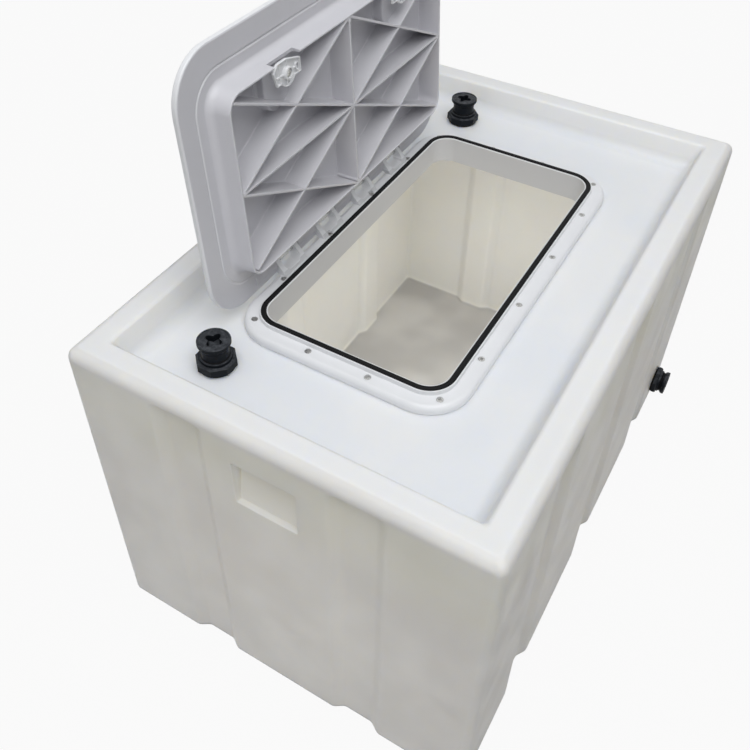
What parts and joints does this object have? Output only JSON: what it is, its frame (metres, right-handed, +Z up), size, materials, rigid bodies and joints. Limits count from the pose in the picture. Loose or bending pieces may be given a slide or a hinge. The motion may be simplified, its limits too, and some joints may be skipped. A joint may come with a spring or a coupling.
{
  "type": "live fish transport box",
  "caption": "Moulded live fish transport tank with fluted walls, raised rim, sunk deck, hinged deck hatch with turn latches, screwed deck plugs and a drain plug.",
  "frame": {"origin": "middle of the tank's flat base", "axes": "+Z up, +X along the tank's length towards the drain's end, -Y towards the side that the hatch's latches face, +Y towards its hinge"},
  "size_m": [0.95, 0.6367, 0.912],
  "materials": {
    "tank_plastic": "natural translucent polyethylene, satin",
    "hatch_plastic": "white, moulded gloss",
    "lid_plastic": "grey-white, moulded satin",
    "seal_rubber": "black, matt",
    "gasket_foam": "closed-cell foam",
    "screw_steel": "stainless",
    "black_plastic": "black, satin"
  },
  "bodies": {
    "tank": {"tank_body": "tank_plastic", "hatch_frame": "hatch_plastic", "lid_seal": "seal_rubber", "frame_gasket": "gasket_foam", "frame_screw_01": "screw_steel", "frame_screw_02": "screw_steel", "frame_screw_03": "screw_steel", "frame_screw_04": "screw_steel", "frame_screw_05": "screw_steel", "frame_screw_06": "screw_steel", "frame_screw_07": "screw_steel", "frame_screw_08": "screw_steel", "frame_screw_09": "screw_steel", "frame_screw_10": "screw_steel", "frame_screw_11": "screw_steel", "frame_screw_12": "screw_steel", "frame_screw_13": "screw_steel", "frame_screw_14": "screw_steel", "frame_screw_15": "screw_steel", "frame_screw_16": "screw_steel", "hinge_pin": "screw_steel", "deck_fitting_left_body": "black_plastic", "deck_fitting_left_gasket": "seal_rubber", "deck_fitting_left_lock_nut": "black_plastic", "deck_fitting_right_body": "black_plastic", "deck_fitting_right_gasket": "seal_rubber", "deck_fitting_right_lock_nut": "black_plastic", "drain_body": "black_plastic", "drain_gasket": "seal_rubber", "drain_lock_nut": "black_plastic"},
    "lid": {"hatch_lid": "lid_plastic", "latch_left_seal_ring": "seal_rubber", "latch_right_seal_ring": "seal_rubber"},
    "latch_left": {"latch_left_knob": "hatch_plastic", "latch_left_washer": "screw_steel", "latch_left_cam": "lid_plastic", "latch_left_screw": "screw_steel"},
    "latch_right": {"latch_right_knob": "hatch_plastic", "latch_right_washer": "screw_steel", "latch_right_cam": "lid_plastic", "latch_right_screw": "screw_steel"},
    "deck_plug_left": {"deck_fitting_left_plug": "black_plastic", "deck_fitting_left_plug_ring": "seal_rubber"},
    "deck_plug_right": {"deck_fitting_right_plug": "black_plastic", "deck_fitting_right_plug_ring": "seal_rubber"},
    "drain_plug": {"drain_plug": "black_plastic", "drain_plug_ring": "seal_rubber"}
  },
  "joints": [
    {"name": "lid_hinge", "type": "hinge", "parent": "tank", "child": "lid", "pos_m": [-0.003, 0.185, 0.55], "axis": [1, 0, 0], "range_deg": [0, 93.3]},
    {"name": "latch_left_turn", "type": "hinge", "parent": "lid", "child": "latch_left", "pos_m": [-0.149, 0.20155, 0.83702], "axis": [0, 0.9983, -0.0576], "range_deg": [-90, 0]},
    {"name": "latch_right_turn", "type": "hinge", "parent": "lid", "child": "latch_right", "pos_m": [0.143, 0.20155, 0.83702], "axis": [0, 0.9983, -0.0576], "range_deg": [0, 90]},
    {"name": "deck_plug_left_unscrew", "type": "slide", "parent": "tank", "child": "deck_plug_left", "axis": [0, 0, 1], "range_m": [0, 0.03]},
    {"name": "deck_plug_right_unscrew", "type": "slide", "parent": "tank", "child": "deck_plug_right", "axis": [0, 0, 1], "range_m": [0, 0.03]},
    {"name": "drain_plug_unscrew", "type": "slide", "parent": "tank", "child": "drain_plug", "axis": [0, -1, 0], "range_m": [0, 0.03]}
  ]
}
